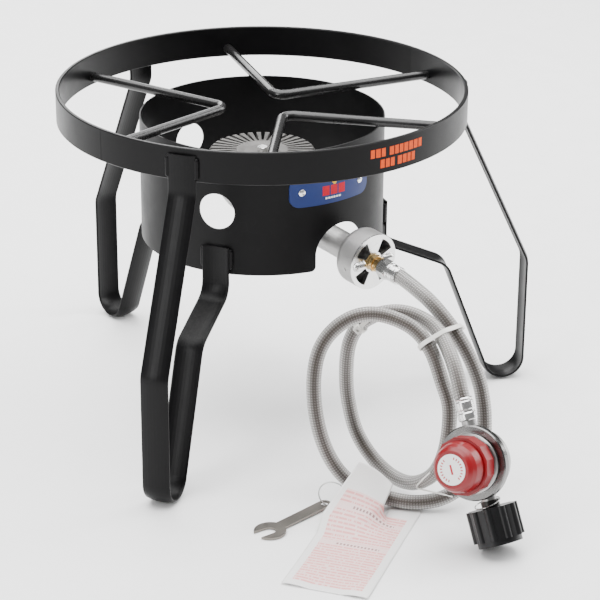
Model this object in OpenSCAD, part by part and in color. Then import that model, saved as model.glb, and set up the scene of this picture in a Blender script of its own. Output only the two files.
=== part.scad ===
// Gas burner stand: a round pot ring on three bent strap legs, a wind shield with a cast
// burner in it, and a braided hose with an adjustable regulator and a cylinder nut.
// The stand's axis is +Z, the floor is z = 0, and the gas inlet points towards -Y.

/* [Pot ring] */
// Outer diameter of the pot ring
ring_d = 406; // [360:1:460]
// Height of the ring's flat band
ring_h = 31.5; // [25:0.5:40]
// Thickness of the ring's flat band
ring_t = 4; // [3:0.5:6]
// Height of the ring's top above the floor
stand_h = 334; // [300:1:380]
// Diameter of the bent grate rods
rod_d = 9.5; // [8:0.5:12]
// Distance from the axis to the corner of each bent rod
rod_corner = 34; // [30:1:50]

/* [Legs] */
// Width of the leg strap
leg_w = 28; // [20:1:34]
// Depth of the leg strap, from its bowed face to its two edges
leg_t = 4.5; // [3.5:0.5:6]
// Thickness of the leg strap's steel
leg_plate = 2.4; // [1.6:0.2:3]
// Distance from the axis to the outside of a foot
leg_reach = 279; // [250:1:310]
// Width of the U-shaped foot, measured outside
foot_w = 47; // [40:1:56]
// Height of the outer knee
knee_z = 134; // [115:1:150]

/* [Wind shield] */
// Outer diameter of the wind shield
shield_d = 243.4; // [215:0.2:260]
// Height of the wind shield
shield_h = 124; // [118:1:132]
// Thickness of the wind shield's sheet
shield_t = 1.5; // [1:0.1:3]
// Diameter of the air hole above each leg
air_hole_d = 36; // [24:1:44]
// Width of the slot for the burner's inlet tube
slot_w = 58; // [57:1:64]

/* [Burner] */
// Outer diameter of the burner's crown
crown_d = 106; // [96:1:112]
// Number of slots in the crown
crown_slots = 36; // [24:1:40]
// Outer diameter of the burner's inlet tube
tube_d = 27; // [24:0.5:30]
// Outer diameter of the air bell at the inlet
bell_d = 56; // [50:0.5:62]
// Slope of the inlet tube, down towards its mouth, in degrees
inlet_slope = 4.5; // [0:0.5:6]

/* [Hose and regulator] */
// Outer diameter of the braided hose
hose_d = 14; // [10:0.5:15]
// Diameter of the regulator's rim
reg_d = 69; // [66:0.5:74]
// Outer diameter of the regulator's knob
knob_d = 54; // [48:0.5:58]
// Height of the regulator's knob
knob_h = 31; // [28:0.5:38]
// Outer diameter of the cylinder nut over its ribs
nut_d = 47.5; // [44:0.5:52]
// Length of the cylinder nut
nut_l = 34; // [32:0.5:40]

/* [Small parts] */
// Width of the paper tag
tag_w = 80; // [50:1:90]
// Length of the paper tag
tag_l = 176; // [150:1:200]
// Length of the spanner
spanner_l = 92; // [80:1:100]

/* [Hidden] */
$fn = 64;

// Clearances
run_gap = 0.08;
face_gap = 0.4;
snug = 0.05;
// Each straight of a bent bar runs this far into its bends, and is this much slimmer
bend_lap = 0.3;
bend_ease = 0.996;

// Ring and grate
ring_r = ring_d / 2;
ring_z = stand_h - ring_h;
ring_edge = 0.8;
rod_r = rod_d / 2;
rod_z = ring_z + 9;
rod_spread = 34.7;
rod_turn = -3;
rod_bend = 12;

// Legs
leg_angles = [-60, 60, 180];
leg_drop = 6;
foot_r = (foot_w - leg_t) / 2;
strap_lean = 69;
strap_slope = 25;
knee_bend = 22;
strap_bend = 20;
strap_rise = leg_t - leg_plate;
strap_half = (leg_w - leg_plate) / 2;
leg_edge_r = ring_r + leg_plate / 2;
leg_out = strap_rise / 2 + sqrt(leg_edge_r * leg_edge_r - strap_half * strap_half);
leg_foot = leg_reach - leg_t / 2;
leg_floor = leg_t / 2;
foot_inner = leg_foot - foot_r * (1 + tan(strap_lean / 2)) - 0.5;

// Wind shield: its top stays just under the grate rods
shield_r = shield_d / 2;
shield_top = rod_z - rod_r - 2.5;
shield_z = shield_top - shield_h;
shield_in = shield_r - shield_t;
strap_in = shield_r + leg_t / 2;
strap_top = shield_z + 28;
strap_turn_z = shield_z - 20;
air_hole_z = shield_z + 63;
knee_in_z = strap_turn_z - (leg_foot - foot_w - strap_in) * tan(strap_slope) * 0.55;

// Inlet axis: it starts on the stand's axis at axis_z and slopes down towards -Y
bell_front = 168;
axis_z = shield_z + 31.5;
slot_top = axis_z - shield_r * tan(inlet_slope) + 22.5;
tube_r = tube_d / 2;
bell_r = bell_d / 2;
bell_wall = 3;
bell_l = 21;
shoulder_r = 8;
thread_r = 4.95;
window_in = 10.5;
window_out = bell_r - 4;
window_half = 21;

// Burner bowl, crown and cap
bracket_w = 25;
bracket_t = 4;
bracket_z = shield_z + 1;
bowl_r = crown_d / 2 - 6;
bowl_wall = 5;
bowl_z = axis_z + 31;
bowl_base = bracket_z + bracket_t;
crown_z = bowl_z + 8;
crown_h = 16;
crown_r = crown_d / 2;
crown_hub = 20;
crown_bars = 24;
bolt_r = 3;

// Name plate
plate_turn = -5;
plate_w = 91;
plate_h = 30;
plate_t = 1;
plate_z = shield_top - 41;
rivet_pitch = 32;
rivet_r = 1.7;

// Fittings along the inlet axis
shutter_s = bell_front + face_gap;
shutter_t = 1.2;
shutter_r = bell_r;
rib_r = 5;
lock_w = 15;
rib_from = lock_w / sqrt(3) + face_gap + rib_r;
rib_to = bell_r - rib_r - 2.5;
lock_s = shutter_s + shutter_t + face_gap;
lock_l = 4.5;
hex_l = 8;
nut_s = lock_s + lock_l + hex_l;
swivel_l = 11;
swivel_bore = 6;
ferrule_s = nut_s + swivel_l;
ferrule_l = 14;
ferrule_r = hose_d / 2 + 1.7;
ferrule_floor = 4;
hose_in_s = ferrule_s + ferrule_floor;

// Regulator: its centre, and the turn, tilt and spin of its knob's axis
reg_turn = -74;
reg_tilt = 14;
reg_spin = 27;
reg_r = reg_d / 2;
lean = acos(cos(reg_spin) * cos(reg_tilt));
nut_start = 43;
nut_end = nut_start + nut_l;
nut_floor = nut_start + 5;
lip_r = nut_d / 2 - 3.2;
mouth_r = nut_d / 2 - 6.5;
reg_z = nut_end * cos(lean) + lip_r * sin(lean);
reg_at = [-42, -364, reg_z];
rim_z = 11;
film_t = 0.8;
flange_z = rim_z - 2.4;
port_r = 4;
neck_r = 15;
neck_top = 31;
pad_h = 1.5;
spring_bore = 10.5;
button_z = rim_z + film_t / 2 + pad_h + 15;
button_h = 3;
screw_z = button_z + button_h + face_gap;
knob_z = 20.5;
disc_r = 14;
stem_r = 7;
clip_r = 12;
out_s = 38;
out_ferrule_l = 21;
hose_out_s = out_s + ferrule_floor;

// Route of the hose's middle line, from the burner to the regulator, in two upright loops
inlet_dir = [0, -cos(inlet_slope), -sin(inlet_slope)];
outlet_dir = reg_point(1) - reg_point(0);
hose_start = [0, 0, axis_z] + inlet_dir * hose_in_s;
hose_end = reg_point(hose_out_s);
hose_points = [
    hose_start,
    hose_start + 11 * inlet_dir,
    [-3, -233, 192], [-3, -257, 184], [2, -281, 164], [8, -297, 140], [12, -308, 114],
    [10, -317, 84], [3, -322, 51], [-12, -319, 28], [-32, -309, 13], [-53, -292, 8],
    [-70, -270, 10], [-87, -252, 19], [-100, -239, 34], [-109, -228, 58], [-113, -219, 90],
    [-110, -212, 124], [-101, -210, 151], [-86, -215, 170], [-68, -226, 181], [-50, -241, 181],
    [-35, -263, 172], [-29, -282, 155], [-29, -299, 128], [-29, -310, 104], [-35, -313, 68],
    [-39, -303, 39], [-42, -280, 20], [-44, -253, 16], [-47, -227, 26], [-52, -209, 47],
    [-55, -200, 74], [-57, -197, 104], [-57, -200, 138], [-51, -207, 159], [-40, -220, 172],
    [-26, -238, 177], [-17, -260, 174], [-17, -283, 166], [-29, -313, 152],
    hose_end + 20 * outlet_dir,
    hose_end
];
hose_sides = 10;
coil_normal = [-0.64, -0.76, 0.1];

// Hose tie round the three strands
tie_at = [-16, -280, 163];
tie_turn = -87;
tie_tilt = 129;
tie_strands = [[-2, 18], [4, -14], [-4, -1]];
tie_w = 4;
tie_t = 1.2;
small_tie_at = [-51, -208, 160];
small_tie_turn = -50;
small_tie_tilt = 41;

// Tag: its lower left corner, its turn, and the strand that lifts it
tag_at = [-236, -318];
tag_turn = 31;
tag_t = 0.5;
tag_cells = [24, 10];
tag_rise = 0.6;
tag_bend = 97;
tag_slit = 50;
string_r = 0.8;
string_points = [
    [-29.5, -318.6, 17], [-37, -309.4, 19], [-43, -299, 19.8], [-48, -289.5, 21],
    [-48, -295, 30], [-46.5, -304.6, 42]
];

// Spanner and its wire ring
spanner_t = 2;
spanner_w = 12;
spanner_turn = 4.5;
spanner_jaw_turn = -10;
spanner_hole = 4;
spanner_tip = spanner_l - spanner_w / 2;
spanner_tilt = 1.2;
spanner_at = [-114, -234];
wire_r = 0.6;
wire_ring_r = 13;
wire_turn = -50;
wire_out = 7.2;

// ---------- functions ----------

function unit(v) = v / norm(v);

// Point at distance s from the regulator's centre along its outlet (or inlet, when negative)
function reg_point(s) = reg_at + s * [
    sin(reg_spin) * -cos(reg_turn) - cos(reg_spin) * sin(reg_turn) * sin(reg_tilt),
    sin(reg_spin) * -sin(reg_turn) + cos(reg_spin) * cos(reg_turn) * sin(reg_tilt),
    cos(reg_spin) * cos(reg_tilt)
];

// Catmull-Rom point between p[i] and p[i + 1]
function pick(p, i) = p[min(max(i, 0), len(p) - 1)];
function spline(p, i, t) =
    let (a = pick(p, i - 1), b = pick(p, i), c = pick(p, i + 1), d = pick(p, i + 2))
    0.5 * (2 * b + (c - a) * t + (2 * a - 5 * b + 4 * c - d) * t * t
        + (3 * b - a - 3 * c + d) * t * t * t);
function smooth(p, steps) = [
    for (i = [0 : len(p) - 2], k = [0 : steps - 1]) spline(p, i, k / steps),
    p[len(p) - 1]
];

// One ring of a swept tube at path point i
function tube_ring(path, i, r, sides, side_ref) =
    let (
        t = unit(pick(path, i + 1) - pick(path, i - 1)),
        u = unit(cross(side_ref, t)),
        v = cross(t, u)
    )
    [for (k = [0 : sides - 1]) path[i] + r * (cos(360 * k / sides) * u + sin(360 * k / sides) * v)];

// Points on an arc in the plane
function arc(at, r, from, to, steps) =
    [for (k = [0 : steps]) let (a = from + (to - from) * k / steps) at + r * [cos(a), sin(a)]];

// Heading of the leg of a bent path from p[i] to p[i + 1]
function heading(p, i) = atan2(p[i + 1][1] - p[i][1], p[i + 1][0] - p[i][0]);
// Turn at p[i], kept between -180 and 180
function turn(p, i) =
    let (a = heading(p, i) - heading(p, i - 1))
    a > 180 ? a - 360 : a < -180 ? a + 360 : a;
// Length taken from each side of the corner p[i] by its bend
function trim(p, r, i) = i <= 0 || i >= len(p) - 1 ? 0 : r[i] * tan(abs(turn(p, i)) / 2);

// ---------- shared shapes ----------

// A bar bent in the XZ plane along the corners p, with bend radius r[i] at corner i
module bent_bar(p, r) {
    for (i = [0 : len(p) - 2]) {
        a = trim(p, r, i);
        b = trim(p, r, i + 1);
        from = a - (a > 0 ? bend_lap : 0);
        to = norm(p[i + 1] - p[i]) - b + (b > 0 ? bend_lap : 0);
        translate([p[i][0], 0, p[i][1]])
            rotate([0, 90 - heading(p, i), 0])
                translate([0, 0, from])
                    linear_extrude(to - from)
                        scale(bend_ease)
                            children();
    }
    for (i = [1 : len(p) - 2]) {
        sweep = turn(p, i);
        side = sweep > 0 ? 1 : -1;
        head = heading(p, i - 1);
        along = trim(p, r, i);
        centre = p[i] - along * [cos(head), sin(head)] + side * r[i] * [-sin(head), cos(head)];
        start = sweep > 0 ? head - 90 : head + 90 + sweep;
        translate([centre[0], 0, centre[1]])
            rotate([0, -start, 0])
                rotate([90, 0, 0])
                    rotate_extrude(angle = abs(sweep))
                        translate([r[i], 0])
                            rotate(side > 0 ? 0 : 180)
                                children();
    }
}

// Section of a strap rolled to a shallow bow, hollow on its +X side, with eased edges
module strap_section() {
    bow_r = (strap_half * strap_half + strap_rise * strap_rise) / (2 * strap_rise);
    swing = asin(strap_half / bow_r);
    centre = [bow_r - strap_rise / 2, 0];
    edge = leg_plate / 2;
    ends = [for (side = [-1, 1]) centre + bow_r * [-cos(swing), side * sin(swing)]];
    polygon(concat(
        arc(centre, bow_r + edge, 180 - swing, 180 + swing, 8),
        arc(ends[0], edge, 180 + swing + 45, 180 + swing + 135, 2),
        arc(centre, bow_r - edge, 180 + swing, 180 - swing, 8),
        arc(ends[1], edge, 180 - swing - 135, 180 - swing - 45, 2)
    ));
}

module swept_tube(path, r, sides, side_ref) {
    n = len(path);
    points = [for (i = [0 : n - 1]) each tube_ring(path, i, r, sides, side_ref)];
    walls = [
        for (i = [0 : n - 2], k = [0 : sides - 1])
            let (a = i * sides + k, b = i * sides + (k + 1) % sides)
            each [[a, b, b + sides], [a, b + sides, a + sides]]
    ];
    first = [for (k = [0 : sides - 1]) sides - 1 - k];
    last = [for (k = [0 : sides - 1]) (n - 1) * sides + k];
    polyhedron(points, concat([first], walls, [last]));
}

// Places children at distance s along the burner's inlet axis
module along_inlet(s) {
    translate([0, 0, axis_z])
        rotate([90 + inlet_slope, 0, 0])
            translate([0, 0, s])
                children();
}

// Places children in the regulator's frame: +Z along the knob's axis, -Y towards the inlet
module in_regulator() {
    translate(reg_at)
        rotate([0, 0, reg_turn])
            rotate([90 - reg_tilt, 0, 0])
                rotate([0, 0, reg_spin])
                    children();
}

// Places children at distance s from the regulator's centre towards its inlet
module along_stem(s) {
    in_regulator()
        rotate([90, 0, 0])
            translate([0, 0, s])
                children();
}

// Places children at distance s from the regulator's centre towards its outlet
module along_outlet(s) {
    in_regulator()
        rotate([-90, 0, 0])
            translate([0, 0, s])
                children();
}

module hexagon(across_flats) {
    circle(d = across_flats / cos(30), $fn = 6);
}

// A hexagon nut body with its outer corners taken off
module hex_body(across_flats, length) {
    intersection() {
        linear_extrude(length)
            hexagon(across_flats);
        union() {
            cylinder(r1 = across_flats / 2, r2 = across_flats / 2 + 1.5, h = 1.5);
            translate([0, 0, 1.5])
                cylinder(r = across_flats, h = length - 3);
            translate([0, 0, length - 1.5])
                cylinder(r1 = across_flats / 2 + 1.5, r2 = across_flats / 2, h = 1.5);
        }
    }
}

// Four fan-shaped windows
module fan_windows() {
    reach = window_out / cos(window_half) + 1;
    for (k = [0 : 3])
        rotate(45 + 90 * k)
            intersection() {
                difference() {
                    circle(window_out);
                    circle(window_in);
                }
                polygon([
                    [0, 0],
                    reach * [cos(window_half), -sin(window_half)],
                    reach * [cos(window_half), sin(window_half)]
                ]);
            }
}

// ---------- stand ----------

module ring() {
    color([0.06, 0.06, 0.06])
        translate([0, 0, ring_z])
            rotate_extrude()
                polygon([
                    [ring_r - ring_t + ring_edge, 0],
                    [ring_r - ring_edge, 0],
                    [ring_r, ring_edge],
                    [ring_r, ring_h - ring_edge],
                    [ring_r - ring_edge, ring_h],
                    [ring_r - ring_t + ring_edge, ring_h],
                    [ring_r - ring_t, ring_h - ring_edge],
                    [ring_r - ring_t, ring_edge]
                ]);
}

leg_path = [
    [leg_out, stand_h - leg_drop],
    [leg_out, ring_z - 14],
    [leg_foot, knee_z],
    [leg_foot, leg_floor],
    [foot_inner, leg_floor],
    [foot_inner - (knee_in_z - leg_floor) / tan(strap_lean), knee_in_z],
    [strap_in, strap_turn_z],
    [strap_in, strap_top]
];
leg_bends = [0, strap_bend, knee_bend, foot_r, foot_r, strap_bend, strap_bend, 0];

module leg(angle) {
    color([0.06, 0.06, 0.06])
        rotate([0, 0, angle - 90])
            bent_bar(leg_path, leg_bends)
                strap_section();
}

module leg_left() { leg(leg_angles[0]); }
module leg_right() { leg(leg_angles[1]); }
module leg_back() { leg(leg_angles[2]); }

// A round rod bent into a V, both ends on the ring's inside
module rod(angle) {
    reach = ring_r + 20;
    across = (ring_r - ring_t) * sin(rod_spread);
    along = (ring_r - ring_t) * cos(rod_spread) - rod_corner;
    stretch = (reach - rod_corner) / along;
    color([0.08, 0.08, 0.08])
        intersection() {
            rotate([0, 0, angle + rod_turn - 90])
                translate([0, 0, rod_z])
                    rotate([-90, 0, 0])
                        bent_bar([
                            [rod_corner + along * stretch, across * stretch],
                            [rod_corner, 0],
                            [rod_corner + along * stretch, -across * stretch]
                        ], [0, rod_bend, 0])
                            circle(r = rod_r);
            translate([0, 0, ring_z])
                cylinder(r = ring_r - ring_t, h = ring_h);
        }
}

module rod_front() { rod(0); }
module rod_right() { rod(120); }
module rod_left() { rod(240); }

// Welds beside each strap, on the shield and under the ring's band
module weld_beads() {
    bead_r = 2.3;
    bead_l = 16;
    edge = leg_w / 2 + 0.3;
    color([0.07, 0.07, 0.07])
        for (angle = leg_angles, side = [-1, 1], spot = [0, 1])
            rotate([0, 0, angle - 90])
                translate([
                    [shield_r + strap_rise / 2 - 0.2, ring_r + 0.5][spot],
                    side * edge,
                    [strap_top - bead_l - 4, ring_z + 5][spot]
                ]) {
                    cylinder(r = bead_r, h = bead_l);
                    sphere(bead_r);
                    translate([0, 0, bead_l])
                        sphere(bead_r);
                }
}

// ---------- wind shield ----------

module rivet_places() {
    for (side = [-1, 1])
        rotate([0, 0, plate_turn + side * rivet_pitch / 2])
            translate([0, 0, plate_z])
                rotate([90, 0, 0])
                    children();
}

module wind_shield() {
    corner = 5;
    slot_r = slot_w / 2;
    color([0.05, 0.05, 0.05])
        difference() {
            translate([0, 0, shield_z])
                cylinder(r = shield_r, h = shield_h);
            translate([0, 0, shield_z - 1])
                cylinder(r = shield_in, h = shield_h + 2);
            for (angle = leg_angles)
                rotate([0, 0, angle])
                    translate([0, 0, air_hole_z])
                        rotate([90, 0, 0])
                            cylinder(d = air_hole_d, h = shield_r + 5);
            rotate([90, 0, 0])
                linear_extrude(shield_r + 5) {
                    translate([0, slot_top - slot_r])
                        circle(slot_r);
                    translate([-slot_r, shield_z - 1])
                        square([slot_w, slot_top - slot_r - shield_z + 1]);
                    difference() {
                        translate([-slot_r - corner, shield_z - 1])
                            square([slot_w + 2 * corner, corner + 1]);
                        for (side = [-1, 1])
                            translate([side * (slot_r + corner), shield_z + corner])
                                circle(corner);
                    }
                }
            rivet_places()
                cylinder(r = rivet_r + snug, h = shield_r + 5);
        }
}

module name_plate() {
    corner = 10;
    color([0.05, 0.2, 0.6])
        difference() {
            intersection() {
                translate([0, 0, plate_z - plate_h])
                    cylinder(r = shield_r + plate_t, h = 2 * plate_h);
                rotate([0, 0, plate_turn])
                    translate([0, 0, plate_z])
                        rotate([90, 0, 0])
                            linear_extrude(shield_r + 5) {
                                square([plate_w - 2 * corner, plate_h], center = true);
                                square([plate_w, plate_h - 2 * corner], center = true);
                                for (x = [-1, 1], y = [-1, 1])
                                    translate([x * (plate_w / 2 - corner), y * (plate_h / 2 - corner)])
                                        circle(corner);
                            }
            }
            translate([0, 0, plate_z - 2 * plate_h])
                cylinder(r = shield_r, h = 4 * plate_h);
            rivet_places()
                cylinder(r = rivet_r + snug, h = shield_r + 5);
        }
}

module plate_rivets() {
    head_r = 3.4;
    dome_r = 5;
    color([0.8, 0.8, 0.8])
        rivet_places() {
            translate([0, 0, shield_in - 0.6])
                cylinder(r = rivet_r, h = shield_t + plate_t + 1);
            translate([0, 0, shield_r + plate_t + snug])
                intersection() {
                    cylinder(r = head_r, h = 3);
                    translate([0, 0, 1.7 - dome_r])
                        sphere(dome_r);
                }
        }
}

// ---------- burner ----------

module burner_bracket() {
    tab = 16;
    x = shield_in - bracket_t / 2;
    z = bracket_z + bracket_t / 2;
    color([0.08, 0.08, 0.08])
        difference() {
            intersection() {
                bent_bar([[-x, z + tab], [-x, z], [x, z], [x, z + tab]], [0, 6, 6, 0])
                    square([bracket_t, bracket_w], center = true);
                cylinder(r = shield_in, h = stand_h);
            }
            translate([0, 0, bracket_z - 1])
                cylinder(r = bolt_r + snug, h = bracket_t + 2);
        }
}

// Outside of the bell and its shoulder, and the same shape one wall smaller inside
module bell_shape(r, neck, back) {
    rotate_extrude()
        polygon(concat(
            [[0, back - 12], [neck, back - 12]],
            arc([neck + 4, back - 8], 4, 180, 90, 4),
            arc([r - shoulder_r, back + shoulder_r - 4], shoulder_r, -60, 0, 6),
            [[r, bell_front], [0, bell_front]]
        ));
}

module burner_body() {
    hub_r = 13;
    hub_in = 9;
    back = bell_front - bell_l;
    color([0.45, 0.46, 0.47])
        difference() {
            union() {
                intersection() {
                    translate([0, 0, bowl_z])
                        sphere(bowl_r, $fn = 96);
                    translate([0, 0, bowl_base])
                        cylinder(r = bowl_r, h = bowl_z - bowl_base);
                }
                translate([0, 0, bowl_z])
                    cylinder(r = bowl_r, h = crown_z - bowl_z);
                translate([0, 0, bowl_base])
                    cylinder(r = hub_r, h = 14);
                along_inlet(20)
                    cylinder(r = tube_r, h = back - 20);
                along_inlet(0)
                    bell_shape(bell_r, tube_r, back);
            }
            difference() {
                union() {
                    translate([0, 0, bowl_z])
                        sphere(bowl_r - bowl_wall, $fn = 96);
                    translate([0, 0, bowl_z])
                        cylinder(r = bowl_r - bowl_wall, h = crown_z - bowl_z + 1);
                    along_inlet(0)
                        cylinder(r = tube_r - 3.5, h = back);
                    along_inlet(0)
                        intersection() {
                            bell_shape(bell_r - bell_wall, tube_r - 3.5, back + bell_wall);
                            cylinder(r = bell_r, h = bell_front - bell_wall);
                        }
                }
                translate([0, 0, bowl_base])
                    cylinder(r = hub_in, h = crown_z + crown_h - 7 - bowl_base);
                along_inlet(bell_front - 13)
                    cylinder(r = hub_in, h = 14);
            }
            translate([0, 0, bowl_base - 1])
                cylinder(r = bolt_r + snug, h = crown_z);
            along_inlet(bell_front - 14)
                cylinder(r = thread_r, h = 15);
            along_inlet(bell_front - bell_wall - 1)
                linear_extrude(bell_wall + 2)
                    fan_windows();
            along_inlet(bell_front - 7)
                rotate([0, -90, 8])
                    cylinder(r = 1.5, h = bell_r + 1);
        }
}

// A shallow cast dome with long slots, open from its hub to its rim
module burner_crown() {
    slot = 360 / crown_slots * 0.24;
    far = crown_r + 10;
    color([0.3, 0.3, 0.31])
        difference() {
            translate([0, 0, crown_z])
                rotate_extrude()
                    polygon([
                        [bowl_r - bowl_wall - 3, -3],
                        [bowl_r - bowl_wall - snug, -3],
                        [bowl_r - bowl_wall - snug, 0],
                        [bowl_r, 0],
                        [crown_r, crown_h - 6],
                        [crown_r, crown_h - 2],
                        [crown_r - 2, crown_h],
                        [crown_bars, crown_h],
                        [crown_hub - 2, crown_h - 2],
                        [0, crown_h - 2],
                        [0, crown_h - 7],
                        [crown_hub, crown_h - 7],
                        [crown_bars, crown_h - 4],
                        [crown_r - 7, crown_h - 4],
                        [bowl_r - bowl_wall - 3, 4]
                    ]);
            for (k = [0 : crown_slots - 1])
                rotate([0, 0, 360 * k / crown_slots])
                    translate([0, 0, crown_z + crown_h - 8])
                        linear_extrude(12)
                            intersection() {
                                polygon([
                                    [0, 0],
                                    far * [cos(slot), -sin(slot)],
                                    far * [cos(slot), sin(slot)]
                                ]);
                                difference() {
                                    circle(far);
                                    circle(crown_bars + 1.5);
                                }
                            }
            translate([0, 0, crown_z])
                cylinder(r = bolt_r + snug, h = crown_h);
        }
}

module burner_bolt() {
    head_z = crown_z + crown_h - 2;
    color([0.7, 0.7, 0.68]) {
        translate([0, 0, bracket_z - 10])
            cylinder(r = bolt_r, h = head_z - bracket_z + 10);
        translate([0, 0, head_z])
            hex_body(10, 4.5);
    }
}

module burner_washer() {
    color([0.7, 0.7, 0.68])
        translate([0, 0, bracket_z - 1.2])
            difference() {
                cylinder(r = 7, h = 1.2);
                translate([0, 0, -1])
                    cylinder(r = bolt_r + snug, h = 4);
            }
}

module burner_nut() {
    color([0.7, 0.7, 0.68])
        translate([0, 0, bracket_z - 6.2])
            difference() {
                hex_body(10, 5);
                translate([0, 0, -1])
                    cylinder(r = bolt_r, h = 8);
            }
}

// The screw that closes the hole in the bell's side
module bell_screw() {
    color([0.2, 0.2, 0.2])
        along_inlet(bell_front - 7)
            rotate([0, -90, 8])
                translate([0, 0, bell_r - 3])
                    cylinder(r = 1.5, h = 2.2);
}

// ---------- inlet fittings ----------

module air_shutter() {
    color([0.9, 0.9, 0.9])
        along_inlet(shutter_s)
            difference() {
                union() {
                    linear_extrude(shutter_t)
                        difference() {
                            circle(shutter_r);
                            fan_windows();
                        }
                    for (side = [0, 180])
                        rotate([0, 0, side])
                            intersection() {
                                translate([rib_from, 0, 0]) {
                                    rotate([0, 90, 0])
                                        cylinder(r = rib_r, h = rib_to - rib_from);
                                    sphere(rib_r);
                                    translate([rib_to - rib_from, 0, 0])
                                        sphere(rib_r);
                                }
                                cylinder(r = bell_r, h = 2 * rib_r);
                            }
                }
                translate([0, 0, -1])
                    cylinder(r = thread_r + run_gap, h = 12);
            }
}

module orifice_fitting() {
    gas_r = 2;
    color([0.78, 0.6, 0.3])
        along_inlet(0)
            difference() {
                union() {
                    translate([0, 0, bell_front - 20])
                        cylinder(r = thread_r, h = lock_s - bell_front + 20);
                    translate([0, 0, bell_front - 23])
                        cylinder(r1 = 2.5, r2 = thread_r, h = 3);
                    translate([0, 0, lock_s])
                        hex_body(lock_w, lock_l);
                    translate([0, 0, lock_s + lock_l])
                        hex_body(12.5, hex_l);
                    translate([0, 0, nut_s])
                        cylinder(r = swivel_bore, h = swivel_l / 2);
                }
                translate([0, 0, bell_front - 19])
                    cylinder(r = gas_r, h = 60);
                translate([0, 0, bell_front - 24])
                    cylinder(r = 0.6, h = 6);
            }
}

module swivel_nut() {
    color([0.75, 0.76, 0.78])
        along_inlet(nut_s)
            difference() {
                hex_body(17, swivel_l);
                translate([0, 0, -1])
                    cylinder(r = swivel_bore, h = swivel_l + 2);
            }
}

// A crimped sleeve over the hose's end, with a tail towards the fitting
module ferrule(length, tail_r, tail_l) {
    dip = ferrule_r - 0.7;
    mid = length / 2;
    difference() {
        union() {
            rotate_extrude()
                polygon([
                    [0, 0], [ferrule_r - 1, 0], [ferrule_r, 1], [ferrule_r, mid - 4],
                    [dip, mid - 3], [dip, mid - 1], [ferrule_r, mid], [ferrule_r, length - 4],
                    [dip, length - 3], [dip, length - 2], [ferrule_r, length - 1],
                    [ferrule_r - 0.6, length], [0, length]
                ]);
            translate([0, 0, -tail_l])
                cylinder(r = tail_r, h = tail_l + 1);
        }
        translate([0, 0, ferrule_floor])
            cylinder(r = hose_d / 2 + snug, h = length);
        translate([0, 0, -tail_l - 1])
            cylinder(r = 2, h = length + tail_l);
    }
}

module hose_ferrule_burner() {
    color([0.8, 0.81, 0.83])
        along_inlet(ferrule_s)
            ferrule(ferrule_l, swivel_bore, swivel_l / 2);
}

module hose_ferrule_regulator() {
    color([0.8, 0.81, 0.83])
        along_outlet(out_s)
            ferrule(out_ferrule_l, 2.5, 5);
}

// ---------- hose and what is on it ----------

module hose() {
    color([0.6, 0.6, 0.6])
        swept_tube(smooth(hose_points, 2), hose_d / 2, hose_sides, coil_normal);
}

module tie_loop(r) {
    hull()
        for (p = tie_strands)
            translate(p)
                circle(r);
}

module hose_tie() {
    inner = hose_d / 2 + 1;
    color([0.9, 0.9, 0.88])
        translate(tie_at)
            rotate([0, tie_tilt, tie_turn])
                translate([0, 0, -tie_w / 2])
                    linear_extrude(tie_w)
                        difference() {
                            union() {
                                tie_loop(inner + tie_t);
                                translate([-3, tie_strands[0][1] + inner])
                                    square([6, 5]);
                            }
                            tie_loop(inner);
                        }
}

// A second tie left on the inner strand, with its square head and cut tail
module small_tie() {
    inner = hose_d / 2 + snug;
    color([0.9, 0.9, 0.88])
        translate(small_tie_at)
            rotate([0, small_tie_tilt, small_tie_turn])
                difference() {
                    union() {
                        translate([0, 0, -tie_w / 2])
                            cylinder(r = inner + tie_t, h = tie_w);
                        translate([-3.5, -inner - 5, -3.2])
                            cube([7, 6, 6.4]);
                        translate([-2, -inner - 3, 2])
                            cube([4, tie_t, 18]);
                    }
                    translate([0, 0, -30])
                        cylinder(r = inner, h = 60);
                    translate([-1.5, -inner - 6, -1.2])
                        cube([3, 3, 2.4]);
                }
}

// ---------- regulator ----------

module regulator_body() {
    boss_r = 6.9;
    color([0.62, 0.63, 0.65])
        in_regulator()
            difference() {
                union() {
                    rotate_extrude()
                        polygon([
                            [0, -11], [23, -11], [reg_r - 6, -7],
                            [reg_r - 6, flange_z], [reg_r - 3, flange_z],
                            [reg_r - 3, rim_z - film_t / 2], [25, rim_z - film_t / 2],
                            [25, -5.5], [22, -8], [0, -8]
                        ]);
                    rotate([90, 0, 0])
                        translate([0, 0, 22])
                            cylinder(r = boss_r, h = reg_r - 20);
                    rotate([-90, 0, 0])
                        translate([0, 0, 22])
                            cylinder(r = boss_r, h = out_s - 22);
                }
                rotate([90, 0, 0])
                    translate([0, 0, 18])
                        cylinder(r = port_r, h = reg_r);
                rotate([-90, 0, 0])
                    translate([0, 0, 18])
                        cylinder(r = 2.5, h = out_s);
            }
}

module regulator_bonnet() {
    low = rim_z + film_t / 2;
    color([0.7, 0.71, 0.72])
        in_regulator()
            rotate_extrude()
                polygon([
                    [25, low], [reg_r - 3, low], [reg_r - 3, low + 2], [reg_r - 6.6, low + 2],
                    [reg_r - 7, low + 4.5], [neck_r + 3, low + 7.5], [neck_r, low + 8],
                    [neck_r, neck_top], [spring_bore, neck_top], [spring_bore, low + 6],
                    [22, low + 3.5], [25, low + 2]
                ]);
}

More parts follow.
